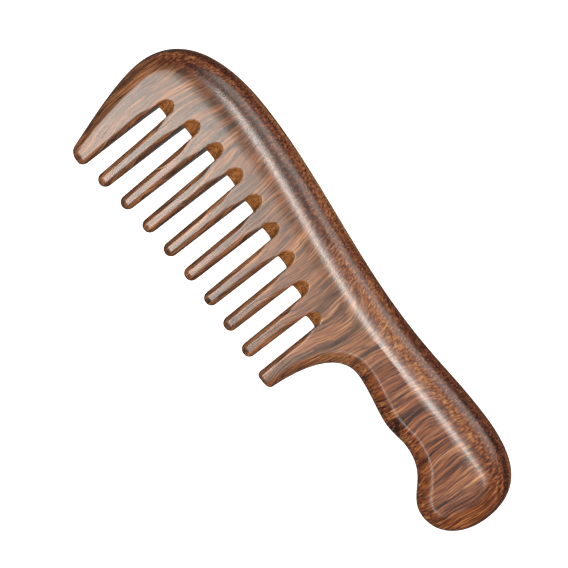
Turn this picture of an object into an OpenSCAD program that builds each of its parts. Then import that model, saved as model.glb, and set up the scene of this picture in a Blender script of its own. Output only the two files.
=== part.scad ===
// Wide tooth comb of polished hardwood: a tapered board with a bulbous handle in line with its
// back, and a row of wide teeth that hang from a gently arched root line.
//
// The two faces are flat and lean towards each other like a wedge, thick along the back and thin
// at the tooth tips. The back, the head and the handle are rounded over from face to face. Each
// gap ends in a thumbnail scoop on both faces, where a round cutter ran out at a slant.
//
// The comb is first laid out about its middle plane: X runs along the back from the centre of
// the first gap towards the handle, Y runs towards the back from the highest gap root, and
// Z = 0 is halfway between the faces. rest() then turns it by the lean of one face, so that the
// lower face lies flat on Z = 0, and centres its outline on X = 0, Y = 0.

/* [Teeth and gaps] */
// Distance from the centre of one gap to the next
tooth_pitch = 10.8; // [9.6:0.1:13]
// Width of a gap at its root
gap_w = 5.0; // [4.2:0.1:6.4]
// How much wider a gap is at the tooth tips than at its root
gap_flare = 0.8; // [0:0.1:1.4]
// Depth from the highest gap root to the tip line at its shallowest
tooth_len = 32.9; // [26:0.1:40]
// Radius of the shallow arc that the tooth tips lie on
tip_line_r = 400; // [250:10:1200]
// Radius of the root line's arch on the head side of its crown
root_arch_head_r = 98; // [80:1:200]
// Radius of the root line's arch on the handle side of its crown
root_arch_handle_r = 210; // [180:5:500]
// Round-over along the edges of a tooth
tooth_edge_r = 1.8; // [0.6:0.1:2]
// Length of the rounded tip of a tooth, seen on its face
tip_round = 2.4; // [1.2:0.1:3]
// Length of the rounded tip of the first tooth
head_tip_round = 2.8; // [1.2:0.1:3.2]
// Length of the squarer tip of the last tooth
handle_tip_round = 1.4; // [1:0.1:3]
// Length over which a tooth thins down at its tip
tip_thinning = 3.6; // [2:0.1:5]

/* [Gap scoops] */
// Slant of the scoop at a gap root, from the upright
scoop_slant = 45; // [35:1:55]
// Thickness of the straight gap end that is left between the two scoops
scoop_web = 1.6; // [0.8:0.1:3]

/* [Board] */
// Thickness of the board at the highest gap root
root_t = 11.0; // [9:0.1:14]
// Lean of each face towards the tooth tips
face_lean = 6; // [4.5:0.1:6.8]
// Width of the rounded back, from the edge to the flat of a face
back_round = 13; // [8:0.5:14]
// Width of the rounded front edge of the handle and the throat
front_round = 6; // [4:0.5:7]

/* [Head and back] */
// Reach of the head past the centre of the first gap
head_reach = 18.1; // [15:0.1:24]
// Height of the crest of the back above the highest gap root
crest_h = 24.5; // [21:0.1:30]
// Distance of the crest from the centre of the first gap
crest_x = 20; // [10:1:32]
// Width of the first tooth at its tip
head_tooth_w = 6.3; // [5.5:0.1:8]
// Width of the last tooth at its tip
handle_tooth_w = 6.7; // [5.5:0.1:8]

/* [Handle] */
// Distance from the centre of the last gap to the waist, where the handle begins
throat_len = 24; // [20:0.5:30]
// Height of the back at the waist
waist_back = 16.7; // [13:0.1:20]
// Depth of the throat at the waist, below the highest gap root
throat_drop = 7.4; // [4:0.1:9]
// Length of the handle from the waist to its end
handle_len = 65.3; // [55:0.5:85]
// Height of the handle's back above the highest gap root
handle_back = 17.9; // [14:0.1:20]
// Depth of the belly where the fingers curl round the handle
belly_drop = 10.4; // [9:0.1:12]
// Depth of the bulb at the end of the handle
bulb_drop = 20.2; // [16:0.1:24]

/* [Hidden] */

WOOD = "#4a2416";
TOOTH_WOOD = "#5a2e1b";
GUARD_WOOD = "#512819";
HANDLE_WOOD = "#3f1e13";

GAPS = 9;
EDGE_STEPS = 4;
TIP_STEPS = 5;
BEVEL_LAND = 0.15;
ROOT_EASE = 0.05;

last_gap_x = (GAPS - 1) * tooth_pitch;
waist_x = last_gap_x + throat_len;
end_x = waist_x + handle_len;
crown_x = 2.5 * tooth_pitch;
tip_crown_x = 5.25 * tooth_pitch;
tooth_edge_run = 7;
tip_end_share = sin(15);

// Half the thickness of the board at y
function half_t(y) = root_t / 2 + y * tan(face_lean);

// Centre and root of a gap, and the tooth side that it leaves at y, which is 1 for the side
// towards the handle and -1 for the side towards the head
function arch(x, r) = sqrt(r * r - x * x) - r;
function tip_y(x) = -tooth_len + arch(x - tip_crown_x, tip_line_r);
function gap_x(i) = (i - 1) * tooth_pitch;
function root_y(i) =
    arch(gap_x(i) - crown_x, gap_x(i) < crown_x ? root_arch_head_r : root_arch_handle_r);
function gap_side(i, side, y) =
    gap_x(i) + side * (gap_w + gap_flare * (root_y(i) - y) / tooth_len) / 2;
function gap_corner(i, side) = [gap_x(i) + side * gap_w / 2, root_y(i)];

// Outline, clockwise from the first tooth's tip. A knot is its place, the direction in which the
// outline passes it, how far it pulls the curve before and after it, and its round-over.
head_tip_y = tip_y(-gap_w / 2 - head_tooth_w / 2);
handle_tip_y = tip_y(last_gap_x + gap_w / 2 + handle_tooth_w / 2);
HEAD_TIP = [[gap_side(1, -1, head_tip_y) - head_tooth_w, head_tip_y], 107, 0, 12, 2.5];
HEAD_SIDE = [[-head_reach, -0.6], 90, 10, 16, 6.5];
CREST = [[crest_x, crest_h], 0, 24.7, 30.5, back_round];
WAIST_BACK = [[waist_x, waist_back], 0, 32, 14.5, back_round];
HANDLE_BACK = [[waist_x + 35, handle_back], 0, 15, 0.3 * handle_len, back_round];
HANDLE_END = [[end_x, -3.6], -90, 16.2, 9.2, 8];
BULB = [[end_x - 13.5, -bulb_drop], 180, 8.3, 9.3, front_round];
NOTCH = [[waist_x + 28.4, -belly_drop + 0.8], 180, 14.4, 1.4, front_round];
BELLY = [[waist_x + 20, -belly_drop], 180, 3.9, 4.8, front_round];
THROAT = [[waist_x, -throat_drop], 180, 6.4, 9, front_round];
HANDLE_TIP = [[gap_side(GAPS, 1, handle_tip_y) + handle_tooth_w, handle_tip_y], -93, 16, 0, 3];

// How far along the throat's curve the last tooth takes over from the spine
throat_share = 0.42;

function heading(a) = [cos(a), sin(a)];
function curve(a, b, t) =
    pow(1 - t, 3) * a[0]
    + 3 * pow(1 - t, 2) * t * (a[0] + a[3] * heading(a[1]))
    + 3 * (1 - t) * t * t * (b[0] - b[2] * heading(b[1]))
    + pow(t, 3) * b[0];
function curve_dir(a, b, t) =
    let(d = curve(a, b, min(1, t + 0.001)) - curve(a, b, max(0, t - 0.001)))
    d / norm(d);
function inward(d) = [d[1], -d[0]];
function mix(a, b, t) = a + (b - a) * t;
function unit(v) = v / norm(v);

// A column is one strip of the edge from the lower face to the upper face. A rounded column
// starts at the middle plane on the outline and curls in along a direction: it is never thicker
// than the board is where the round-over ends, which makes the back the nose of a teardrop. A
// flat column stands upright, for an edge where two pieces meet or a gap ends.
function rounded_column(p, in_dir, w, thin = 1) = [
    for (k = [-EDGE_STEPS : EDGE_STEPS])
        let(a = 90 * k / EDGE_STEPS, q = p + in_dir * w * (1 - cos(a)))
        [q[0], q[1], half_t(min(q[1], p[1] + in_dir[1] * w)) * thin * sin(a)]
];
function eased_column(p, in_dir, r, thin = 1) = [
    for (k = [-EDGE_STEPS : EDGE_STEPS])
        let(
            a = 90 * max(0, abs(k) - 1) / (EDGE_STEPS - 1),
            q = p + in_dir * r * (1 - cos(a)),
            h = half_t(q[1]) * thin,
            fall = min(tooth_edge_r, h - BEVEL_LAND)
        )
        [q[0], q[1], k == 0 ? 0 : sign(k) * (h - fall * (1 - sin(a)))]
];
function flat_column(p) = [
    for (k = [-EDGE_STEPS : EDGE_STEPS]) [p[0], p[1], half_t(p[1]) * k / EDGE_STEPS]
];
// At a gap end the edge is a scoop at each face: it dips in from the web, further in at the
// middle of the gap than at its sides, because the cutter is round.
function scoop_column(i, share) =
    let(
        r = gap_w / 2,
        p = [gap_x(i) + share * r, root_y(i)],
        late = r / cos(scoop_slant) * (1 - sqrt(1 - share * share)),
        reach = tan(scoop_slant),
        web = scoop_web / 2,
        z_face = half_t(p[1] - web * reach - late) / (1 - reach * tan(face_lean)),
        z_start = min(web + late / reach, z_face - BEVEL_LAND)
    )
    [
        for (k = [-EDGE_STEPS : EDGE_STEPS])
            let(
                z = k == 0 ? 0 : mix(z_start, z_face, (abs(k) - 1) / (EDGE_STEPS - 1)),
                dip = max(0, (z - web) * reach - late)
            )
            [p[0], p[1] + dip, sign(k) * z]
    ];
SCOOP_SHARES = [0.94, 0.8, 0.55, 0.3, 0, -0.3, -0.55, -0.8, -0.94];
function gap_end_columns(i) = concat(
    [flat_column(gap_corner(i, 1))],
    [for (share = SCOOP_SHARES) scoop_column(i, share)],
    [flat_column(gap_corner(i, -1))]
);
function edge_columns(a, b, steps, from = 0, to = 1) = [
    for (i = [1 : steps])
        let(t = mix(from, to, i / steps))
        rounded_column(curve(a, b, t), inward(curve_dir(a, b, t)), mix(a[4], b[4], t))
];

// Splits the ring of a flat face, clockwise from above, into triangles: it cuts off one ear after
// another, which is a corner that turns inwards and whose triangle holds none of the other corners
function turns_in(a, b, c) = cross(b - a, c - b) < -0.0001;
function holds(a, b, c, p) = turns_in(a, b, p) && turns_in(b, c, p) && turns_in(c, a, p);
function is_ear(places, ring, k) =
    let(n = len(ring), a = places[ring[k]], b = places[ring[(k + 1) % n]], c = places[ring[(k + 2) % n]])
    turns_in(a, b, c) && len([for (i = ring) if (holds(a, b, c, places[i])) i]) == 0;
function next_ear(places, ring, k = 0) =
    k >= len(ring) || is_ear(places, ring, k) ? k : next_ear(places, ring, k + 1);
function triangles(places, ring, done = []) =
    let(n = len(ring), k = next_ear(places, ring))
    n == 3 || k >= n
        ? concat(done, [ring])
        : triangles(
            places,
            [for (i = [2 : n]) ring[(k + i) % n]],
            concat(done, [[ring[k], ring[(k + 1) % n], ring[(k + 2) % n]]])
        );

// A board closed by a ring of columns, with a flat face above and below
module board(columns) {
    n = len(columns);
    m = 2 * EDGE_STEPS + 1;
    points = [for (c = columns, p = c) p];
    sides = [
        for (i = [0 : n - 1], k = [0 : m - 2])
            let(a = i * m + k, b = ((i + 1) % n) * m + k)
            each [[a, b, b + 1], [a, b + 1, a + 1]]
    ];
    face = triangles([for (c = columns) [c[0][0], c[0][1]]], [for (i = [0 : n - 1]) i]);
    caps = [for (f = face) each [f * m + [m - 1, m - 1, m - 1], [f[2], f[1], f[0]] * m]];
    polyhedron(points = points, faces = concat(caps, sides), convexity = 10);
}

// A bar through a row of sections, each a closed ring of points
module bar(sections) {
    n = len(sections);
    m = len(sections[0]);
    points = [for (s = sections, p = s) p];
    sides = [
        for (i = [0 : n - 2], k = [0 : m - 1])
            let(a = i * m + k, b = i * m + (k + 1) % m)
            each [[a, b, b + m], [a, b + m, a + m]]
    ];
    root = [for (k = [m - 1 : -1 : 0]) k];
    tip = [for (k = [0 : m - 1]) (n - 1) * m + k];
    polyhedron(points = points, faces = concat(sides, [root, tip]), convexity = 4);
}

// Steps along a tooth from its root at 0 to its tip at 1, close together where the tip rounds off
function tooth_steps(length) = concat(
    [0, 0.05, 0.12, 0.24, 0.4, 0.56, 0.72],
    [for (i = [TIP_STEPS : -1 : 0])
        1 - tip_thinning * (1 - cos(15 + 75 * i / TIP_STEPS) - (1 - cos(15))) / length]
);
function run_out(t, length) = t >= length ? 1 : sin(acos((1 - t / length) * cos(15)));

// One section of a tooth between its left and right sides, so far up from its tip and down from
// its root. A side that a gap leaves is eased, and the outer side of a guard tooth is rounded
// over a width of its own.
function tooth_section(left, right, up, down, round_len, left_guard = 0, right_guard = 0) =
    let(
        pinch = run_out(up, round_len),
        thin = run_out(up, tip_thinning),
        middle = (left + right) / 2,
        l = mix(middle, left, pinch),
        r = mix(middle, right, pinch),
        along = unit(r - l),
        ease = pinch * mix(ROOT_EASE, tooth_edge_r, min(1, down / tooth_edge_run)),
        left_col = left_guard > 0
            ? rounded_column(l, along, left_guard * pinch, thin)
            : eased_column(l, along, ease, thin),
        right_col = right_guard > 0
            ? rounded_column(r, -along, right_guard * pinch, thin)
            : eased_column(r, -along, ease, thin),
        m = len(right_col)
    )
    concat(left_col, [for (k = [m - 1 : -1 : 0]) right_col[k]]);

module inner_tooth(i) {
    root_l = gap_corner(i - 1, 1);
    root_r = gap_corner(i, -1);
    end_y = tip_y((root_l[0] + root_r[0]) / 2);
    length = (root_l[1] + root_r[1]) / 2 - end_y;
    bar([
        for (t = tooth_steps(length))
            let(
                yl = mix(root_l[1], end_y, t),
                yr = mix(root_r[1], end_y, t),
                left = [gap_side(i - 1, 1, yl), yl],
                right = [gap_side(i, -1, yr), yr]
            )
            tooth_section(left, right, length * (1 - t), length * t, tip_round)
    ]);
}

// The guard teeth carry the outline of the head and of the throat down their outer sides
module head_guard() {
    root_r = gap_corner(1, -1);
    length = HEAD_SIDE[0][1] - head_tip_y;
    bar([
        for (t = tooth_steps(length))
            let(
                left = curve(HEAD_TIP, HEAD_SIDE, 1 - t),
                up = left[1] - head_tip_y,
                yr = mix(head_tip_y, root_r[1], up / length),
                right = [gap_side(1, -1, yr), yr],
                w = mix(HEAD_SIDE[4], HEAD_TIP[4], t)
            )
            tooth_section(left, right, up, length - up, head_tip_round, left_guard = w)
    ]);
}

module handle_guard() {
    root_l = gap_corner(GAPS, 1);
    start = curve(THROAT, HANDLE_TIP, throat_share);
    start_w = mix(THROAT[4], HANDLE_TIP[4], throat_share);
    length = start[1] - handle_tip_y;
    bar([
        for (t = tooth_steps(length))
            let(
                right = curve(THROAT, HANDLE_TIP, mix(throat_share, 1, t)),
                up = right[1] - handle_tip_y,
                yl = mix(handle_tip_y, root_l[1], up / length),
                left = [gap_side(GAPS, 1, yl), yl],
                w = mix(start_w, HANDLE_TIP[4], t)
            )
            tooth_section(left, right, up, length - up, handle_tip_round, right_guard = w)
    ]);
}

module spine_board() {
    head_in = unit(gap_corner(1, -1) - HEAD_SIDE[0]);
    tooth_start = curve(THROAT, HANDLE_TIP, throat_share);
    tooth_in = unit(gap_corner(GAPS, 1) - tooth_start);
    board(concat(
        [rounded_column(HEAD_SIDE[0], head_in, HEAD_SIDE[4])],
        edge_columns(HEAD_SIDE, CREST, 14),
        edge_columns(CREST, WAIST_BACK, 12),
        [rounded_column(THROAT[0], [0, 1], THROAT[4])],
        edge_columns(THROAT, HANDLE_TIP, 5, 0, 0.85 * throat_share),
        [rounded_column(tooth_start, tooth_in, mix(THROAT[4], HANDLE_TIP[4], throat_share))],
        [for (i = [GAPS : -1 : 1]) each gap_end_columns(i)]
    ));
}

// Stands the comb on its lower face, centred on its outline
module rest() {
    tip_top = half_t(head_tip_y) * tip_end_share;
    y_low = head_tip_y * cos(face_lean) - tip_top * sin(face_lean);
    y_high = crest_h * cos(face_lean);
    translate([
        (head_reach - end_x) / 2,
        -(y_low + y_high) / 2,
        root_t / 2 * cos(face_lean)
    ])
        rotate([face_lean, 0, 0])
            children();
}

// The head, the bed behind the gaps and the back, as far as the waist
module spine() {
    color(WOOD) rest() spine_board();
}

// The handle, from the waist to the end of its bulb
module handle() {
    color(HANDLE_WOOD)
        rest()
            board(concat(
                [rounded_column(WAIST_BACK[0], [0, -1], WAIST_BACK[4])],
                edge_columns(WAIST_BACK, HANDLE_BACK, 5),
                edge_columns(HANDLE_BACK, HANDLE_END, 9),
                edge_columns(HANDLE_END, BULB, 8),
                edge_columns(BULB, NOTCH, 8),
                edge_columns(NOTCH, BELLY, 2),
                edge_columns(BELLY, THROAT, 5)
            ));
}

// The wide first tooth, which guards the row at the head
module guard_tooth_head() {
    color(GUARD_WOOD) rest() head_guard();
}

// One of the teeth between two gaps, counted from the head
module tooth(i) {
    color(TOOTH_WOOD) rest() inner_tooth(i);
}

// The wide last tooth, which guards the row at the handle
module guard_tooth_handle() {
    color(GUARD_WOOD) rest() handle_guard();
}

spine();
handle();
guard_tooth_head();
tooth(2);  // tooth_2
tooth(3);  // tooth_3
tooth(4);  // tooth_4
tooth(5);  // tooth_5
tooth(6);  // tooth_6
tooth(7);  // tooth_7
tooth(8);  // tooth_8
tooth(9);  // tooth_9
guard_tooth_handle();
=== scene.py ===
import math

import bmesh
import bpy
import numpy as np
from mathutils import Matrix, Vector


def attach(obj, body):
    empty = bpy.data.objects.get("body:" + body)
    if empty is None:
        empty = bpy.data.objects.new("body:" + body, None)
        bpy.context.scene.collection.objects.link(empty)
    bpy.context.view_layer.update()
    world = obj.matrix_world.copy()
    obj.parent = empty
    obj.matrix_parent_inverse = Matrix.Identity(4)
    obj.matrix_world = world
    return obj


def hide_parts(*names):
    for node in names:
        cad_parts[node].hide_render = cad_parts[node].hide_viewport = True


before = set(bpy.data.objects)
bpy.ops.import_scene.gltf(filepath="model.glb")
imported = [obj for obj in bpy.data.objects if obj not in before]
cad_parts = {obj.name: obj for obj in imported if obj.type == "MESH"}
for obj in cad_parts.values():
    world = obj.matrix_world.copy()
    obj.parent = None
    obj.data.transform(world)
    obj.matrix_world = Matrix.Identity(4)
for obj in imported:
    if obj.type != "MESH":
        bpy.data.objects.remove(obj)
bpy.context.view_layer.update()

# ---- Setting out the teeth ---------------------------------------------------------------------
# Nine slots at an even pitch leave ten teeth. Their roots and tips are set out on long shallow
# arcs, and each slot is sawn a little wider at its mouth. Sizes are in millimetres, X along the
# board towards the handle and Y towards the back.
PITCH = 10.8
GAPS = 9
LAST_GAP_X = (GAPS - 1) * PITCH
GAP_W = 5.0
GAP_FLARE = 0.8
TOOTH_LEN = 32.9
TIP_ARC = (5.25 * PITCH, 400)
ROOT_CROWN_X = 2.5 * PITCH
ROOT_ARCS = (98, 210)


def arch(x, radius):
    return np.sqrt(radius * radius - x * x) - radius


def tip_y(x):
    return -TOOTH_LEN + arch(x - TIP_ARC[0], TIP_ARC[1])


def root_y(x):
    to_head = arch(np.minimum(x, ROOT_CROWN_X) - ROOT_CROWN_X, ROOT_ARCS[0])
    to_handle = arch(np.maximum(x, ROOT_CROWN_X) - ROOT_CROWN_X, ROOT_ARCS[1])
    return np.where(x < ROOT_CROWN_X, to_head, to_handle)


def gap_half(gap_x, y):
    return (GAP_W + GAP_FLARE * (root_y(gap_x) - y) / TOOTH_LEN) / 2


def gap_corner(i, side):
    """A corner of a gap's end, where a tooth's root begins; the side is -1 or 1."""
    x = (i - 1) * PITCH
    return np.array([x + side * GAP_W / 2, float(root_y(np.float64(x)))])


# ---- Board, outline and rounded back -----------------------------------------------------------
# One board of hardwood, sawn to its outline and planed to a wedge that is thickest at the back.
# Its edge is then rounded over by hand: broadly along the back and the handle, and tightly down
# the outer sides of the first and last teeth.
ROOT_HALF_T = 5.5
LEAST_HALF_T = 0.5
FACE_LEAN = math.radians(6)
BACK_BLEND = 3.0
WAIST_X = LAST_GAP_X + 24
END_X = WAIST_X + 65.3
HEAD_REACH = 18.1
HEAD_CORNER = (-HEAD_REACH, -0.6)
CREST_H = 24.5
HEAD_GUARD_W = 6.3
HANDLE_GUARD_W = 6.7
HEAD_GUARD_X = -GAP_W / 2 - HEAD_GUARD_W / 2
HANDLE_GUARD_X = LAST_GAP_X + GAP_W / 2 + HANDLE_GUARD_W / 2
HEAD_TIP_Y = float(tip_y(HEAD_GUARD_X))
HANDLE_TIP_Y = float(tip_y(HANDLE_GUARD_X))
HEAD_TIP = np.array([-gap_half(0.0, HEAD_TIP_Y) - HEAD_GUARD_W, HEAD_TIP_Y])
HANDLE_TIP = np.array([LAST_GAP_X + gap_half(LAST_GAP_X, HANDLE_TIP_Y) + HANDLE_GUARD_W, HANDLE_TIP_Y])
TAIL = 9


def heading(degrees):
    return np.array([math.cos(math.radians(degrees)), math.sin(math.radians(degrees))])


# Clockwise from the first tooth's tip: place, direction, pull before and after, round-over. The
# outline runs straight on past both end tips, which are rounded off separately
OUTLINE = [
    (HEAD_TIP - TAIL * heading(107), 107, 0, TAIL / 3, 2.5),
    (HEAD_TIP, 107, TAIL / 3, 12, 2.5),
    (HEAD_CORNER, 90, 10, 16, 6.5),
    ((20, CREST_H), 0, 24.7, 30.5, 13),
    ((WAIST_X, 16.7), 0, 32, 14.5, 13),
    ((WAIST_X + 35, 17.9), 0, 15, 19.6, 13),
    ((END_X, -3.6), -90, 16.2, 9.2, 8),
    ((END_X - 13.5, -20.2), 180, 8.3, 9.3, 6),
    ((WAIST_X + 28.4, -9.6), 180, 14.4, 1.4, 6),
    ((WAIST_X + 20, -10.4), 180, 3.9, 4.8, 6),
    ((WAIST_X, -7.4), 180, 6.4, 9, 6),
    (HANDLE_TIP, -93, 16, TAIL / 3, 3),
    (HANDLE_TIP + TAIL * heading(-93), -93, TAIL / 3, 0, 3),
]
PULLS = np.array([
    [a[0], a[0] + a[3] * heading(a[1]), b[0] - b[2] * heading(b[1]), b[0]]
    for a, b in zip(OUTLINE, OUTLINE[1:])
])
ROUND_OVER = np.array([knot[4] for knot in OUTLINE])


def on_outline(curve, t):
    """Place, first and second derivative of the outline's curves."""
    p0, p1, p2, p3 = (PULLS[curve, k] for k in range(4))
    t = t[:, None]
    u = 1 - t
    place = u**3 * p0 + 3 * u * u * t * p1 + 3 * u * t * t * p2 + t**3 * p3
    first = 3 * (u * u * (p1 - p0) + 2 * u * t * (p2 - p1) + t * t * (p3 - p2))
    second = 6 * (u * (p2 - 2 * p1 + p0) + t * (p3 - 2 * p2 + p1))
    return place, first, second


MARKS_A_CURVE = 80
MARKS_CURVE = np.repeat(np.arange(len(PULLS)), MARKS_A_CURVE)
MARKS_T = np.tile((np.arange(MARKS_A_CURVE) + 0.5) / MARKS_A_CURVE, len(PULLS))
MARKS = on_outline(MARKS_CURVE, MARKS_T)[0]


def nearest_mark(q):
    """Which mark on the outline is nearest to each place, worked out a batch at a time."""
    batch = 20000
    nearest = np.empty(len(q), dtype=np.int64)
    for start in range(0, len(q), batch):
        part = q[start:start + batch]
        apart = (part[:, :1] - MARKS[:, 0])**2 + (part[:, 1:2] - MARKS[:, 1])**2
        nearest[start:start + batch] = apart.argmin(1)
    return nearest


def smooth(t):
    t = np.clip(t, 0, 1)
    return t * t * (3 - 2 * t)


def board_at(q, mark):
    """The board's half thickness, and how far into the round-over each place q is."""
    # From the nearest mark, a few steps find the outline's nearest point; they stay short in bends
    least = 0.2
    curve, t = MARKS_CURVE[mark], MARKS_T[mark]
    for _ in range(4):
        place, first, second = on_outline(curve, t)
        off = place - q
        slope = (first * first).sum(1) + (off * second).sum(1)
        slope = np.maximum(slope, least * (first * first).sum(1))
        t = np.clip(t - (off * first).sum(1) / slope, 0, 1)
    place, first, _ = on_outline(curve, t)
    inward = np.stack([first[:, 1], -first[:, 0]], 1) / np.linalg.norm(first, axis=1)[:, None]
    depth = ((q - place) * inward).sum(1)
    width = ROUND_OVER[curve] + (ROUND_OVER[curve + 1] - ROUND_OVER[curve]) * smooth(t)
    # Within the round-over the wedge grows no thicker towards the back
    over = np.maximum(BACK_BLEND - np.abs(depth - width), 0) / BACK_BLEND
    capped = np.maximum(depth, width) + over * over * BACK_BLEND / 4 - depth
    half_t = ROOT_HALF_T + (q[:, 1] + np.minimum(inward[:, 1], 0) * capped) * math.tan(FACE_LEAN)
    return {"edge": np.maximum(0, 1 - depth / width), "half_t": np.maximum(half_t, LEAST_HALF_T)}


# ---- Slots, scoops and eased edges -------------------------------------------------------------
# Each slot is sawn through the wedge and its end is scooped from both faces with a round cutter
# held at a slant, which leaves a thin web. The teeth's edges and tips are then eased by hand.
GAP_END_R = 0.6
ROOT_EDGE_R = 0.35
TOOTH_EDGE_R = 1.8
EDGE_RUN = 7
TIP_R = 2.5
HEAD_TIP_R = 2.8
HANDLE_TIP_R = 1.6
CUTTER_R = GAP_W / 2
SCOOP_WEB = 1.6
SCOOP_SLANT = math.radians(45)
SCOOP_RIM_R = 0.35


def slots_at(q):
    """How deep in its gap each place q is, how its edges are eased, and where the scoop lies."""
    x, y = q[:, 0], q[:, 1]
    gap = np.clip(np.round(x / PITCH), 0, GAPS - 1) * PITCH
    end = root_y(gap)
    side = gap_half(gap, y) - np.abs(x - gap)
    below = end - y
    fillet = np.maximum(GAP_END_R - np.abs(side - below), 0) / GAP_END_R
    in_gap = np.minimum(side, below) - fillet * fillet * GAP_END_R / 4
    down = root_y(np.clip(x, 0, LAST_GAP_X)) - y
    edge_r = ROOT_EDGE_R + (TOOTH_EDGE_R - ROOT_EDGE_R) * smooth(down / EDGE_RUN)
    tooth = np.clip(np.floor(x / PITCH), -1, GAPS - 1)
    centre = np.where(tooth < 0, HEAD_GUARD_X, (tooth + 0.5) * PITCH)
    centre = np.where(tooth == GAPS - 1, HANDLE_GUARD_X, centre)
    tip_r = np.where(tooth < 0, HEAD_TIP_R, np.where(tooth == GAPS - 1, HANDLE_TIP_R, TIP_R))
    return {
        "in_gap": in_gap, "edge_r": edge_r, "past_tip": tip_y(centre) - y, "tip_r": tip_r,
        "scoop_x": x - gap, "scoop_y": y - end,
    }


def plan(q, mark):
    return board_at(q, mark) | slots_at(q)


def in_scoop(p, z):
    rise = (np.abs(z) - SCOOP_WEB / 2) * math.sin(SCOOP_SLANT) - p["scoop_y"] * math.cos(SCOOP_SLANT)
    return CUTTER_R - np.hypot(p["scoop_x"], np.maximum(CUTTER_R - rise, 0))


def round_join(a, b, radius):
    """The solid inside both a and b, with their shared edge rounded."""
    outside = np.hypot(np.maximum(a + radius, 0), np.maximum(b + radius, 0))
    return np.minimum(-radius, np.maximum(a, b)) + outside


def solid(p, z):
    """How far outside the wood a point is, in millimetres, roughly; negative inside."""
    faces = p["half_t"] * (np.hypot(p["edge"], z / p["half_t"]) - 1)
    slotted = round_join(faces, p["in_gap"], p["edge_r"])
    scooped = round_join(slotted, in_scoop(p, z), SCOOP_RIM_R)
    return round_join(scooped, p["past_tip"], p["tip_r"])


# ---- Carved skin -------------------------------------------------------------------------------
# The whole comb's surface as the carver leaves it, unbroken from the back into every tooth. Every
# cell of a fine grid that the surface crosses gets one point, and every grid edge that it crosses
# gets the four-sided face around it.
CELL = 0.5
LAYERS = 31
# The grid reaches past the comb on every side, and its layers miss the middle plane by a hair
BEFORE_HEAD = 1.3
BEFORE_TIPS = 1.1
PAST = 1.5
OFF_MIDDLE = 0.03
grid_x = np.arange(-HEAD_REACH - BEFORE_HEAD, END_X + PAST, CELL)
grid_y = np.arange(HEAD_TIP_Y - BEFORE_TIPS, CREST_H + PAST, CELL)
grid_z = (np.arange(LAYERS) - LAYERS // 2) * CELL + OFF_MIDDLE
flat = np.stack(np.meshgrid(grid_x, grid_y, indexing="ij"), -1).reshape(-1, 2)
level = plan(flat, nearest_mark(flat))
level = {k: v.reshape(len(grid_x), len(grid_y), 1) for k, v in level.items()}
depth_field = solid(level, grid_z[None, None, :])
inside = depth_field < 0
cells = [n - 1 for n in inside.shape]
total = np.zeros((cells[0] * cells[1] * cells[2], 3))
count = np.zeros(len(total))
faces = []
for axis in range(3):
    u, v = [a for a in range(3) if a != axis]
    low = [slice(None)] * 3
    high = [slice(None)] * 3
    low[axis], high[axis] = slice(None, -1), slice(1, None)
    crossed = np.argwhere(inside[tuple(low)] != inside[tuple(high)])
    after = crossed.copy()
    after[:, axis] += 1
    f0 = depth_field[tuple(crossed.T)]
    f1 = depth_field[tuple(after.T)]
    spot = crossed.astype(float)
    spot[:, axis] += f0 / (f0 - f1)
    corners = []
    for du, dv in ((0, 0), (-1, 0), (-1, -1), (0, -1)):
        cell = crossed.copy()
        cell[:, u] += du
        cell[:, v] += dv
        number = (cell[:, 0] * cells[1] + cell[:, 1]) * cells[2] + cell[:, 2]
        for k in range(3):
            total[:, k] += np.bincount(number, spot[:, k], len(total))
        count += np.bincount(number, minlength=len(total))
        corners.append(number)
    quad = np.stack(corners, 1)
    outwards = (f0 < 0) == (axis != 1)
    faces.append(np.where(outwards[:, None], quad, quad[:, ::-1]))
used = np.flatnonzero(count)
number_of = np.full(len(total), -1)
number_of[used] = np.arange(len(used))
skin_faces = number_of[np.concatenate(faces)]
skin = total[used] / count[used, None] * CELL + [grid_x[0], grid_y[0], grid_z[0]]


def gradient(points, mark):
    """Which way the surface faces at each point, and how far off it the point is."""
    nudge = 0.02
    slope = np.empty_like(points)
    for k in range(2):
        step = np.zeros(3)
        step[k] = nudge
        ahead, behind = points + step, points - step
        slope[:, k] = solid(plan(ahead[:, :2], mark), ahead[:, 2])
        slope[:, k] -= solid(plan(behind[:, :2], mark), behind[:, 2])
    here = plan(points[:, :2], mark)
    slope[:, 2] = solid(here, points[:, 2] + nudge) - solid(here, points[:, 2] - nudge)
    return slope / (2 * nudge), solid(here, points[:, 2])


# Each point is moved onto the surface, by no more than the longest step
LONGEST_STEP = 0.4
LEAST_SLOPE = 0.05
TINY = 1e-9
skin_mark = nearest_mark(skin[:, :2])
for _ in range(3):
    slope, off = gradient(skin, skin_mark)
    move = -slope * (off / np.maximum((slope * slope).sum(1), LEAST_SLOPE))[:, None]
    reach = np.linalg.norm(move, axis=1)
    skin += move * np.minimum(1, LONGEST_STEP / np.maximum(reach, TINY))[:, None]


# ---- Joins between the pieces ------------------------------------------------------------------
# The comb is one piece of wood, so its parts meet face to face on upright planes with no joint:
# across the root of each tooth, and across the waist, where the handle begins.
NEAR_CUT = 1.5
HAIR = 0.01
# The throat is the outline's curve that ends at the last tip; its tooth begins this far along it
THROAT_CURVE = len(OUTLINE) - 3
THROAT_SHARE = 0.42

throat, _, _ = on_outline(np.array([THROAT_CURVE]), np.array([THROAT_SHARE]))
last_corner = gap_corner(GAPS, 1)
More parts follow.
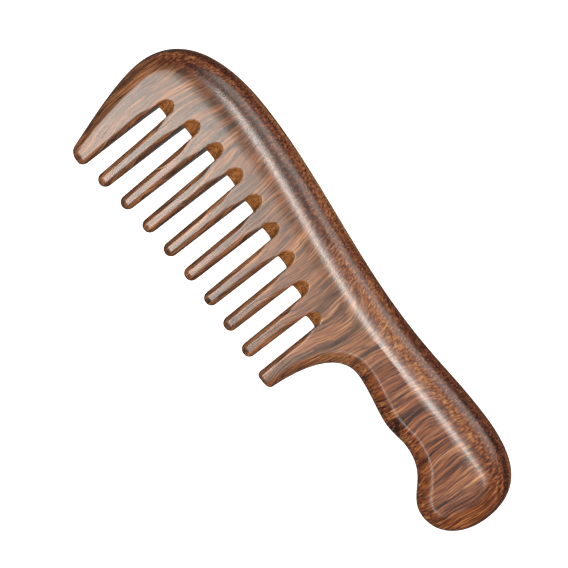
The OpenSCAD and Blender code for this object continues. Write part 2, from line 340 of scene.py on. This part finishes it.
# Two points on each plane, and how far the cut reaches along X
cuts = {
    "handle": (np.array([WAIST_X, 20.0]), np.array([WAIST_X, -20.0]), WAIST_X - 2, WAIST_X + 2),
    "guard_tooth_head": (np.array(HEAD_CORNER), gap_corner(1, -1), -99.0, -GAP_W / 2 + HAIR),
}
for i in range(2, GAPS + 1):
    left, right = gap_corner(i - 1, 1), gap_corner(i, -1)
    cuts[f"tooth_{i}"] = (left, right, left[0] - HAIR, right[0] + HAIR)
cuts["guard_tooth_handle"] = (last_corner, throat[0], last_corner[0] - HAIR, WAIST_X - 5)

bm = bmesh.new()
verts = [bm.verts.new(p) for p in skin]
for quad in skin_faces.tolist():
    bm.faces.new([verts[k] for k in quad])
for a, b, x_low, x_high in cuts.values():
    y_low, y_high = min(a[1], b[1]) - NEAR_CUT, max(a[1], b[1]) + NEAR_CUT
    near = [
        f for f in bm.faces
        if x_low - 1 < (c := f.calc_center_median()).x < x_high + 1 and y_low < c.y < y_high
    ]
    geom = list({v for f in near for v in f.verts}) + list({e for f in near for e in f.edges}) + near
    along = b - a
    bmesh.ops.bisect_plane(
        bm, geom=geom, dist=0.0005, plane_co=(a[0], a[1], 0), plane_no=(-along[1], along[0], 0))
bmesh.ops.triangulate(bm, faces=[f for f in bm.faces if len(f.verts) > 4])
bm.verts.index_update()
points = np.array([v.co for v in bm.verts])
polygons = [[v.index for v in f.verts] for f in bm.faces]
centres = np.array([f.calc_center_median() for f in bm.faces])
bm.free()

slope, _ = gradient(points, nearest_mark(points[:, :2]))
normals = slope / np.linalg.norm(slope, axis=1)[:, None]
owner = np.full(len(polygons), "spine", dtype=object)
for name, (a, b, x_low, x_high) in cuts.items():
    along = b - a
    if name == "handle":
        owner[centres[:, 0] > WAIST_X] = name
        continue
    right_of = along[0] * (centres[:, 1] - a[1]) - along[1] * (centres[:, 0] - a[0]) < 0
    owner[right_of & (centres[:, 0] > x_low) & (centres[:, 0] < x_high)] = name

# ---- At rest -----------------------------------------------------------------------------------
# The comb lies on its lower face, which leans away from its middle plane, so the whole layout
# turns by the lean, stands on that face and is centred.
TIP_END_SHARE = math.sin(math.radians(15))

# A tip's very end is this much of the tooth's thickness
tip_top = (ROOT_HALF_T + HEAD_TIP_Y * math.tan(FACE_LEAN)) * TIP_END_SHARE
SHIFT = np.array([
    (HEAD_REACH - END_X) / 2,
    -(HEAD_TIP_Y * math.cos(FACE_LEAN) - tip_top * math.sin(FACE_LEAN) + CREST_H * math.cos(FACE_LEAN)) / 2,
    ROOT_HALF_T * math.cos(FACE_LEAN),
])
TURN = np.array([
    [1, 0, 0],
    [0, math.cos(FACE_LEAN), -math.sin(FACE_LEAN)],
    [0, math.sin(FACE_LEAN), math.cos(FACE_LEAN)],
])


def at_rest(p):
    return (np.asarray(p) @ TURN.T + SHIFT) / 1000


# ---- Wood --------------------------------------------------------------------------------------
# Rosewood, sanded fine, oiled and buffed: dark red-brown heartwood with paler and orange streaks
# along the teeth, growth layers and flecks where the rounded back cuts across the fibres, and
# open pores. The oil fills most of the grain and leaves a soft gloss.
def linear(text):
    """An sRGB hex colour as the linear colour that a shader takes."""
    parts = [int(text[k:k + 2], 16) / 255 for k in (1, 3, 5)]
    return [c / 12.92 if c <= 0.04045 else ((c + 0.055) / 1.055)**2.4 for c in parts] + [1]


def add(tree, kind, settings, inputs):
    """Adds one node with its settings, and fills its inputs with values or with other outputs."""
    node = tree.nodes.new(kind)
    for key, value in settings.items():
        setattr(node, key, value)
    for key, value in inputs.items():
        if isinstance(value, bpy.types.NodeSocket):
            tree.links.new(value, node.inputs[key])
        else:
            node.inputs[key].default_value = value
    return node.outputs


def rosewood():
    material = bpy.data.materials.new("oiled_rosewood")
    material.use_nodes = True
    tree = material.node_tree
    tree.nodes.clear()
    place = add(tree, "ShaderNodeTexCoord", {}, {})["Object"]
    mm = add(tree, "ShaderNodeVectorMath", {"operation": "SCALE"}, {0: place, "Scale": 1000})[0]
    along_comb = add(tree, "ShaderNodeSeparateXYZ", {}, {0: mm})["X"]

    # Interlocked grain: the fibres drift sideways by a few millimetres over a few centimetres
    drift = add(
        tree, "ShaderNodeTexNoise", {},
        {"Vector": mm, "Scale": 1 / 30, "Detail": 2.0, "Roughness": 0.4})["Color"]
    drift = add(tree, "ShaderNodeVectorMath", {"operation": "SUBTRACT"}, {0: drift, 1: (0.5, 0.5, 0.5)})[0]
    drift = add(tree, "ShaderNodeVectorMath", {"operation": "MULTIPLY"}, {0: drift, 1: (13, 0, 2)})[0]
    grain = add(tree, "ShaderNodeVectorMath", {"operation": "ADD"}, {0: mm, 1: drift})[0]
    # The fibres run parallel to the upper face, which slopes by both leans when the comb lies down
    grain = add(
        tree, "ShaderNodeVectorRotate", {"rotation_type": "X_AXIS"},
        {"Vector": grain, "Angle": -2 * FACE_LEAN})[0]

    # Each pattern is noise drawn out along the fibres: its width across the grain, its length
    # along it and its depth into the board, in millimetres. Real pores are 0.1 to 0.3 mm wide and
    # are drawn a little coarser, so that they show
    patterns = {}
    for name, width, length, layer, detail in (
        ("streak", 2.4, 55, 12, 2), ("fibre", 0.45, 16, 1.6, 3), ("layer", 60, 70, 2.2, 2),
        ("pore", 0.40, 7, 0.7, 1), ("amber", 1.3, 30, 6, 2), ("fleck", 0.7, 6, 0.5, 3),
    ):
        shift = 11.3 * (len(patterns) + 1)
        scaled = add(
            tree, "ShaderNodeMapping", {},
            {"Vector": grain, "Scale": (1 / width, 1 / length, 1 / layer), "Location": (shift,) * 3})[0]
        patterns[name] = add(
            tree, "ShaderNodeTexNoise", {},
            {"Vector": scaled, "Scale": 1.0, "Detail": detail, "Roughness": 0.6})["Fac"]

    # The wood is a little paler and more orange towards the handle
    paler = add(
        tree, "ShaderNodeMapRange", {"interpolation_type": "SMOOTHSTEP"},
        {"Value": along_comb, "From Min": -30, "From Max": 60, "To Min": -0.055, "To Max": -0.038})[0]
    long_grain = add(
        tree, "ShaderNodeMath", {"operation": "MULTIPLY_ADD"}, {0: patterns["streak"], 1: 0.38, 2: paler})[0]
    long_grain = add(
        tree, "ShaderNodeMath", {"operation": "MULTIPLY_ADD"},
        {0: patterns["fibre"], 1: 0.70, 2: long_grain})[0]
    # Where the rounded back cuts across the fibres, it shows growth layers and flecks instead
    end_grain = add(
        tree, "ShaderNodeMath", {"operation": "MULTIPLY_ADD"}, {0: patterns["layer"], 1: 0.46, 2: -0.01})[0]
    end_grain = add(
        tree, "ShaderNodeMath", {"operation": "MULTIPLY_ADD"},
        {0: patterns["fleck"], 1: 0.58, 2: end_grain})[0]
    facing = add(tree, "ShaderNodeNewGeometry", {}, {})["Normal"]
    facing_back = add(tree, "ShaderNodeSeparateXYZ", {}, {0: facing})["Y"]
    on_end = add(
        tree, "ShaderNodeMapRange", {"interpolation_type": "SMOOTHSTEP"},
        {"Value": facing_back, "From Min": -0.14, "From Max": 0.10, "To Min": 0.0, "To Max": 0.9})[0]
    off_end = add(tree, "ShaderNodeMath", {"operation": "SUBTRACT"}, {0: 1.0, 1: on_end})[0]
    tone = add(
        tree, "ShaderNodeMix", {"data_type": "FLOAT"}, {"Factor": on_end, 2: long_grain, 3: end_grain})[0]
    colour = add(tree, "ShaderNodeValToRGB", {}, {0: tone})["Color"]
    ramp = colour.node.color_ramp
    stops = ((0.37, "#1c0c07"), (0.45, "#3d1c10"), (0.51, "#5f321f"), (0.57, "#7c4c2e"), (0.67, "#a9794c"))
    while len(ramp.elements) < len(stops):
        ramp.elements.new(0.5)
    for element, (position, shade) in zip(ramp.elements, stops):
        element.position = position
        element.color = linear(shade)

    # Orange streaks; then a greyer tan on the bed and teeth, fading out towards the handle, which paints in
    # part of the pale sheen that the lamps leave there; then pores, which are short dark hairs along the
    # grain and dots where it is cut across
    amber = add(tree, "ShaderNodeMath", {"operation": "ADD"}, {0: patterns["amber"], 1: paler})[0]
    amber = add(
        tree, "ShaderNodeMapRange", {},
        {"Value": amber, "From Min": 0.42, "From Max": 0.62, "To Max": 0.5})[0]
    amber = add(tree, "ShaderNodeMath", {"operation": "MULTIPLY"}, {0: amber, 1: off_end})[0]
    # Painted sheen, in part: the bed and teeth are greyed, less and less towards the handle
    painted_sheen_grey = add(
        tree, "ShaderNodeMapRange", {"interpolation_type": "SMOOTHSTEP"},
        {"Value": along_comb, "From Min": 15, "From Max": 45, "To Min": 0.13, "To Max": 0.0})[0]
    painted_sheen_grey = add(tree, "ShaderNodeMath", {"operation": "MULTIPLY"}, {0: painted_sheen_grey, 1: off_end})[0]
    pore = add(
        tree, "ShaderNodeMapRange", {},
        {"Value": patterns["pore"], "From Min": 0.56, "From Max": 0.64, "To Max": 0.7})[0]
    for cover, shade in ((amber, "#8e4f24"), (painted_sheen_grey, "#7d6c52"), (pore, "#1d0d08")):
        colour = add(
            tree, "ShaderNodeMix", {"data_type": "RGBA"}, {"Factor": cover, 6: colour, 7: linear(shade)})[2]

    # The scoops cut across the fibres on a slant, so they show flecks of dark and orange end grain, with
    # about a third of the skin's own colour. Their paler, more orange tone is partly painted light, standing
    # in for the light that the scoops catch as they face forward and up.
    scoop_share = add(tree, "ShaderNodeAttribute", {"attribute_name": "scoop_share"}, {})["Fac"]
    scoop_grain_and_light = add(
        tree, "ShaderNodeMapRange", {}, {"Value": patterns["fleck"], "From Min": 0.35, "From Max": 0.65})[0]
    scoop_grain_and_light = add(
        tree, "ShaderNodeMix", {"data_type": "RGBA"},
        {"Factor": scoop_grain_and_light, 6: linear("#4e2812"), 7: linear("#b9783e")})[2]
    scoop_grain_and_light = add(tree, "ShaderNodeMix", {"data_type": "RGBA"}, {"Factor": 0.35, 6: scoop_grain_and_light, 7: colour})[2]
    colour = add(tree, "ShaderNodeMix", {"data_type": "RGBA"}, {"Factor": scoop_share, 6: colour, 7: scoop_grain_and_light})[2]

    # Pores sink and fibres rise by hundredths of a millimetre under the oil
    relief = add(tree, "ShaderNodeMath", {"operation": "MULTIPLY"}, {0: patterns["fibre"], 1: 0.5})[0]
    relief = add(tree, "ShaderNodeMath", {"operation": "SUBTRACT"}, {0: relief, 1: pore})[0]
    bump = add(tree, "ShaderNodeBump", {}, {"Strength": 0.08, "Distance": 0.00005, "Height": relief})[0]
    rough = add(
        tree, "ShaderNodeMapRange", {},
        {"Value": patterns["streak"], "From Min": 0.3, "From Max": 0.7, "To Min": 0.21, "To Max": 0.25})[0]
    shader = add(
        tree, "ShaderNodeBsdfPrincipled", {},
        {"Base Color": colour, "Roughness": rough, "Normal": bump, "IOR": 1.5})[0]
    add(tree, "ShaderNodeOutputMaterial", {}, {"Surface": shader})
    return material


oiled_rosewood = rosewood()


# ---- Spine -------------------------------------------------------------------------------------
# The head, the bed behind the gaps and the rounded back: the thickest part of the board. The
# teeth and the handle grow out of it, in the same wood.
SCOOP_SHARE_REACH = 0.25
SCOOP_SHARE_FADE = 0.2
SCOOP_SHARE_BELOW = 0.3


def scoop_share_at(p):
    """1 on the scoops, where the cutter went across the fibres, fading out just past their rims; there the
    wood gets flecked end grain and painted light.
    """
    here = plan(p[:, :2], nearest_mark(p[:, :2]))
    near = np.clip((in_scoop(here, p[:, 2]) + SCOOP_SHARE_REACH) / SCOOP_SHARE_FADE, 0, 1)
    return near * (here["scoop_y"] > -SCOOP_SHARE_BELOW)


def finish_piece(mesh, node, shading, outer):
    """Gives a mesh its shading, wood and body; shading is the skin's direction at each vertex."""
    laid = np.empty(len(mesh.vertices) * 3)
    mesh.vertices.foreach_get("co", laid)
    layout = (laid.reshape(-1, 3) * 1000 - SHIFT) @ TURN
    # Where the scoops lie, for their end grain and their painted light
    mesh.attributes.new("scoop_share", "FLOAT", "POINT").data.foreach_set("value", scoop_share_at(layout))
    mesh.polygons.foreach_set("use_smooth", [True] * len(mesh.polygons))
    turned = shading @ TURN.T
    mesh.normals_split_custom_set([
        tuple(turned[k]) if outer(polygon) else tuple(polygon.normal)
        for polygon in mesh.polygons for k in polygon.vertices
    ])
    mesh.materials.append(oiled_rosewood)
    piece = bpy.data.objects.new("comb_" + node, mesh)
    bpy.context.scene.collection.objects.link(piece)
    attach(piece, "root")
    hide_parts(node)


def cut_piece(node):
    """Takes a node's part of the skin and closes it with flat faces where it was cut."""
    own = [polygons[k] for k in np.flatnonzero(owner == node)]
    keep = np.unique(np.concatenate([np.array(p) for p in own]))
    renumber = {int(k): n for n, k in enumerate(keep)}
    mesh = bpy.data.meshes.new("comb_" + node)
    mesh.from_pydata(at_rest(points[keep]).tolist(), [], [[renumber[k] for k in p] for p in own])
    bm = bmesh.new()
    bm.from_mesh(mesh)
    caps = bmesh.ops.holes_fill(bm, edges=[e for e in bm.edges if e.is_boundary], sides=0)["faces"]
    bmesh.ops.poke(bm, faces=caps)
    bmesh.ops.recalc_face_normals(bm, faces=bm.faces)
    bm.to_mesh(mesh)
    bm.free()
    finish_piece(mesh, node, normals[keep], lambda polygon: polygon.index < len(own))


cut_piece("spine")

# ---- Handle ------------------------------------------------------------------------------------
# The grip, from the waist to the bulb that fills the palm, with a hollow and a belly for the
# fingers. It is the same board, rounded over all the way round.
cut_piece("handle")

# ---- Guard teeth -------------------------------------------------------------------------------
# The wide first and last teeth, sawn from the same board. They carry the outline of the head and
# of the throat down their outer sides, and protect the thinner teeth between them.
cut_piece("guard_tooth_head")
cut_piece("guard_tooth_handle")


# ---- Inner teeth -------------------------------------------------------------------------------
# Eight teeth between the nine gaps. Each is sawn out of the wedge, so it thins towards its tip,
# and then its edges are eased and its tip is rounded.
ROUND_POINTS = 64
RINGS = 72
RING_CROWDING = 1.8
LEAST_SIZE = 0.02
SQUARE_ON = 0.999


def tooth_tree():
    tree = bpy.data.node_groups.new("carved_tooth", "GeometryNodeTree")
    tree.interface.new_socket("Geometry", in_out="OUTPUT", socket_type="NodeSocketGeometry")
    for name, default in (
        ("Root Left X", 0.0), ("Root Left Y", 0.0), ("Root Right X", PITCH - GAP_W),
        ("Root Right Y", 0.0), ("Tip Y", -TOOTH_LEN), ("Side Taper", GAP_FLARE / TOOTH_LEN / 2),
        ("Root Half Thickness", ROOT_HALF_T), ("Face Slope", math.tan(FACE_LEAN)),
        ("Root Edge Radius", ROOT_EDGE_R), ("Edge Radius", TOOTH_EDGE_R), ("Edge Run", EDGE_RUN),
        ("Tip Radius", TIP_R),
    ):
        socket = tree.interface.new_socket(name, in_out="INPUT", socket_type="NodeSocketFloat")
        socket.default_value = default
    tree.interface.new_socket("Wood", in_out="INPUT", socket_type="NodeSocketMaterial")
    given = add(tree, "NodeGroupInput", {}, {})

    # A plain closed cylinder is shaped ring by ring
    bar = add(
        tree, "GeometryNodeMeshCylinder", {"fill_type": "TRIANGLE_FAN"},
        {"Vertices": ROUND_POINTS, "Side Segments": RINGS, "Radius": 1.0, "Depth": 1.0})["Mesh"]
    spot = add(tree, "ShaderNodeSeparateXYZ", {}, {0: add(tree, "GeometryNodeInputPosition", {}, {})[0]})
    known = {socket.name: socket for socket in given if socket.name}
    known |= {"bar x": spot["X"], "bar y": spot["Y"], "bar z": spot["Z"]}
    for name, operation, *values in (
        # Rings lie closer together towards the tip
        ("share", "ADD", "bar z", 0.5),
        ("rest", "SUBTRACT", 1.0, "share"),
        ("rest", "MAXIMUM", "rest", 0.0),
        ("rest", "POWER", "rest", RING_CROWDING),
        ("share", "SUBTRACT", 1.0, "rest"),
        # Each ring lies between the slanting root and the level tip
        ("left run", "SUBTRACT", "Tip Y", "Root Left Y"),
        ("y left", "MULTIPLY_ADD", "share", "left run", "Root Left Y"),
        ("right run", "SUBTRACT", "Tip Y", "Root Right Y"),
        ("y right", "MULTIPLY_ADD", "share", "right run", "Root Right Y"),
        ("y middle", "ADD", "y left", "y right"),
        ("y middle", "MULTIPLY", "y middle", 0.5),
        ("y slant", "SUBTRACT", "y right", "y left"),
        ("y slant", "MULTIPLY", "y slant", 0.5),
        # The sides close in as the gaps widen
        ("left fall", "SUBTRACT", "Root Left Y", "y left"),
        ("left", "MULTIPLY_ADD", "left fall", "Side Taper", "Root Left X"),
        ("right fall", "SUBTRACT", "Root Right Y", "y right"),
        ("right fall", "MULTIPLY", "right fall", "Side Taper"),
        ("right", "SUBTRACT", "Root Right X", "right fall"),
        ("half width", "SUBTRACT", "right", "left"),
        ("half width", "MULTIPLY", "half width", 0.5),
        ("middle", "ADD", "right", "left"),
        ("middle", "MULTIPLY", "middle", 0.5),
        # The tip rounds off on a circle: the section draws in by more and more towards the end
        ("up", "SUBTRACT", "y middle", "Tip Y"),
        ("short", "SUBTRACT", "Tip Radius", "up"),
        ("short", "MAXIMUM", "short", 0.0),
        ("short", "MULTIPLY", "short", "short"),
        ("chord", "MULTIPLY", "Tip Radius", "Tip Radius"),
        ("chord", "SUBTRACT", "chord", "short"),
        ("chord", "MAXIMUM", "chord", 0.0),
        ("chord", "SQRT", "chord"),
        ("drawn in", "SUBTRACT", "Tip Radius", "chord"),
        ("half thickness", "MULTIPLY_ADD", "y middle", "Face Slope", "Root Half Thickness"),
        ("thin", "SUBTRACT", "half thickness", "drawn in"),
        ("thin", "MAXIMUM", "thin", LEAST_SIZE),
        ("wide", "SUBTRACT", "half width", "drawn in"),
        ("wide", "MAXIMUM", "wide", LEAST_SIZE),
        # The edges are crisp at the root and soften over the edge run
        ("root middle", "ADD", "Root Left Y", "Root Right Y"),
        ("root middle", "MULTIPLY", "root middle", 0.5),
        ("down", "SUBTRACT", "root middle", "y middle"),
        ("ease", "DIVIDE", "down", "Edge Run"),
        ("ease", "MAXIMUM", "ease", 0.0),
        ("ease", "MINIMUM", "ease", 1.0),
        ("slow", "MULTIPLY_ADD", "ease", -2.0, 3.0),
        ("ease", "MULTIPLY", "ease", "ease"),
        ("ease", "MULTIPLY", "ease", "slow"),
        ("corner", "SUBTRACT", "Edge Radius", "Root Edge Radius"),
        ("corner", "MULTIPLY_ADD", "ease", "corner", "Root Edge Radius"),
        ("corner", "SUBTRACT", "corner", "drawn in"),
        ("corner", "MAXIMUM", "corner", LEAST_SIZE),
        ("least", "MINIMUM", "thin", "wide"),
        ("corner", "MINIMUM", "corner", "least"),
        # Each ring is spread out to a rectangle, and its corners are pulled in to the edge radius
        ("size x", "ABSOLUTE", "bar x"),
        ("size y", "ABSOLUTE", "bar y"),
        ("longest", "MAXIMUM", "size x", "size y"),
        ("square x", "DIVIDE", "bar x", "longest"),
        ("square x", "MULTIPLY", "square x", "wide"),
        ("square z", "DIVIDE", "bar y", "longest"),
        ("square z", "MULTIPLY", "square z", "thin"),
        ("flat x", "SUBTRACT", "wide", "corner"),
        ("flat z", "SUBTRACT", "thin", "corner"),
        ("other x", "MULTIPLY", "flat x", -1.0),
        ("other z", "MULTIPLY", "flat z", -1.0),
        ("core x", "MAXIMUM", "square x", "other x"),
        ("core x", "MINIMUM", "core x", "flat x"),
        ("core z", "MAXIMUM", "square z", "other z"),
        ("core z", "MINIMUM", "core z", "flat z"),
        ("out x", "SUBTRACT", "square x", "core x"),
        ("out z", "SUBTRACT", "square z", "core z"),
        ("out xx", "MULTIPLY", "out x", "out x"),
        ("pull", "MULTIPLY_ADD", "out z", "out z", "out xx"),
        ("pull", "SQRT", "pull"),
        ("pull", "DIVIDE", "corner", "pull"),
        ("x", "MULTIPLY_ADD", "out x", "pull", "core x"),
        ("z", "MULTIPLY_ADD", "out z", "pull", "core z"),
        # The ring leans with the root's slant, and the wedge is thicker at its higher side
        ("lean", "DIVIDE", "x", "half width"),
        ("lean", "MULTIPLY", "lean", "y slant"),
        ("y", "ADD", "y middle", "lean"),
        ("thicker", "MULTIPLY", "lean", "Face Slope"),
        ("thicker", "DIVIDE", "thicker", "thin"),
        ("thicker", "ADD", "thicker", 1.0),
        ("z", "MULTIPLY", "z", "thicker"),
        ("x", "ADD", "middle", "x"),
    ):
        known[name] = add(
            tree, "ShaderNodeMath", {"operation": operation},
            {k: known.get(value, value) for k, value in enumerate(values)})[0]
    ring = add(tree, "ShaderNodeCombineXYZ", {}, {"X": known["x"], "Y": known["y"], "Z": known["z"]})[0]
    shaped = add(tree, "GeometryNodeSetPosition", {}, {"Geometry": bar, "Position": ring})[0]
    plain = add(tree, "GeometryNodeRealizeInstances", {}, {0: shaped})[0]
    done = add(tree, "GeometryNodeSetMaterial", {}, {"Geometry": plain, "Material": given["Wood"]})[0]
    add(tree, "NodeGroupOutput", {}, {0: done})
    return tree


carved_tooth = tooth_tree()
for i in range(2, GAPS + 1):
    (left_x, left_y), (right_x, right_y) = gap_corner(i - 1, 1), gap_corner(i, -1)
    sizes = {
        "Root Left X": left_x, "Root Left Y": left_y, "Root Right X": right_x, "Root Right Y": right_y,
        "Tip Y": float(tip_y((left_x + right_x) / 2)), "Wood": oiled_rosewood,
    }
    blank = bpy.data.objects.new(f"tooth_blank_{i}", bpy.data.meshes.new("tooth_blank"))
    bpy.context.scene.collection.objects.link(blank)
    carving = blank.modifiers.new("carving", "NODES")
    carving.node_group = carved_tooth
    for item in carved_tooth.interface.items_tree:
        if item.name in sizes:
            carving[item.identifier] = sizes[item.name]
    carved = blank.evaluated_get(bpy.context.evaluated_depsgraph_get())
    mesh = bpy.data.meshes.new_from_object(carved)
    blank.modifiers.remove(carving)
    bpy.data.objects.remove(blank)
    mesh.name = f"comb_tooth_{i}"
    layout = np.empty(len(mesh.vertices) * 3)
    mesh.vertices.foreach_get("co", layout)
    layout = layout.reshape(-1, 3)
    slope, _ = gradient(layout, nearest_mark(layout[:, :2]))
    shading = slope / np.maximum(np.linalg.norm(slope, axis=1), TINY)[:, None]
    root_line = Vector((left_y - right_y, right_x - left_x, 0)).normalized()
    at_root = {p.index for p in mesh.polygons if p.normal.dot(root_line) > SQUARE_ON}
    mesh.vertices.foreach_set("co", at_rest(layout).ravel())
    mesh.update()
    mesh.materials.clear()
    finish_piece(mesh, f"tooth_{i}", shading, lambda polygon: polygon.index not in at_root)

# ---- Table -------------------------------------------------------------------------------------
# A flat sheet of opal acrylic, cast with a matt face and lit evenly from below, so that the ground
# is plain white. It throws no light and no reflection on the comb.
TABLE_HALF = 3
table_mesh = bpy.data.meshes.new("light_table")
corners = [(x * TABLE_HALF, y * TABLE_HALF, 0) for x, y in ((-1, -1), (1, -1), (1, 1), (-1, 1))]
table_mesh.from_pydata(corners, [], [(0, 1, 2, 3)])
table = bpy.data.objects.new("light_table", table_mesh)
bpy.context.scene.collection.objects.link(table)
acrylic = bpy.data.materials.new("opal_acrylic")
acrylic.use_nodes = True
surface = acrylic.node_tree.nodes["Principled BSDF"]
surface.inputs["Base Color"].default_value = linear("#ebebeb")
surface.inputs["Roughness"].default_value = 0.9
surface.inputs["Emission Color"].default_value = linear("#ffffff")
surface.inputs["Emission Strength"].default_value = 0.7
table_mesh.materials.append(acrylic)
table.visible_glossy = False
table.visible_diffuse = False

# ---- Lamps -------------------------------------------------------------------------------------
# Soft boxes 0.75 to 1 m above the comb, slightly warm. Four are placed for the sheen that they
# leave on the oiled wood, and one fills in from above without a reflection of its own.
WARM_WHITE = (1.0, 0.965, 0.90)


def soft_box(name, centre, size, radiance, turn=0.0, glossy=True):
    """A rectangular lamp that faces the comb, as bright as its radiance wherever it stands."""
    lamp = bpy.data.lights.new(name, "AREA")
    lamp.shape = "RECTANGLE"
    lamp.size, lamp.size_y = size
    lamp.energy = radiance * math.pi * size[0] * size[1]
    lamp.color = WARM_WHITE
    box = bpy.data.objects.new(name, lamp)
    box.location = centre
    facing = Vector(centre).to_track_quat("Z", "Y").to_matrix().to_4x4()
    box.rotation_euler = (facing @ Matrix.Rotation(math.radians(turn), 4, "Z")).to_euler()
    box.visible_glossy = glossy
    bpy.context.scene.collection.objects.link(box)


soft_box("overhead_fill", (0.15, -0.15, 1.0), (0.5, 0.5), 6.8, glossy=False)
soft_box("bed_box", (-0.14, -0.42, 0.8), (0.30, 0.17), 16.0, turn=-18)
soft_box("crest_strip", (0.02, 0.02, 0.8), (0.62, 0.06), 38.0)
soft_box("back_box", (0.0, 0.56, 0.75), (0.8, 0.30), 4.2)
soft_box("front_strip", (0.2, -0.56, 0.8), (0.3, 0.06), 15.0, turn=-20)

# The room behind the lamps is dim on the comb and white to the eye
world = bpy.data.worlds.new("dim_room")
bpy.context.scene.world = world
world.use_nodes = True
air = world.node_tree
seen = add(air, "ShaderNodeLightPath", {}, {})["Is Camera Ray"]
strength = add(air, "ShaderNodeMapRange", {}, {"Value": seen, "To Min": 0.16, "To Max": 1.0})[0]
air.links.new(strength, air.nodes["Background"].inputs["Strength"])
air.nodes["Background"].inputs["Color"].default_value = linear("#f4f5f7")

# ---- Camera ------------------------------------------------------------------------------------
# Straight above the comb, half a metre up, and turned so that the comb lies from upper left to
# lower right with its teeth towards lower left.
camera_data = bpy.data.cameras.new("camera")
camera = bpy.data.objects.new("camera", camera_data)
bpy.context.scene.collection.objects.link(camera)
bpy.context.scene.camera = camera
camera_data.lens = 94.2
camera_data.sensor_width = 36
camera_data.clip_start = 0.01
camera.location = (-0.0078, -0.00127, 0.508)
camera_turn = math.atan2(0.784, 0.621)
camera.rotation_euler = (0, 0, camera_turn)
bpy.context.scene.view_settings.view_transform = "Standard"
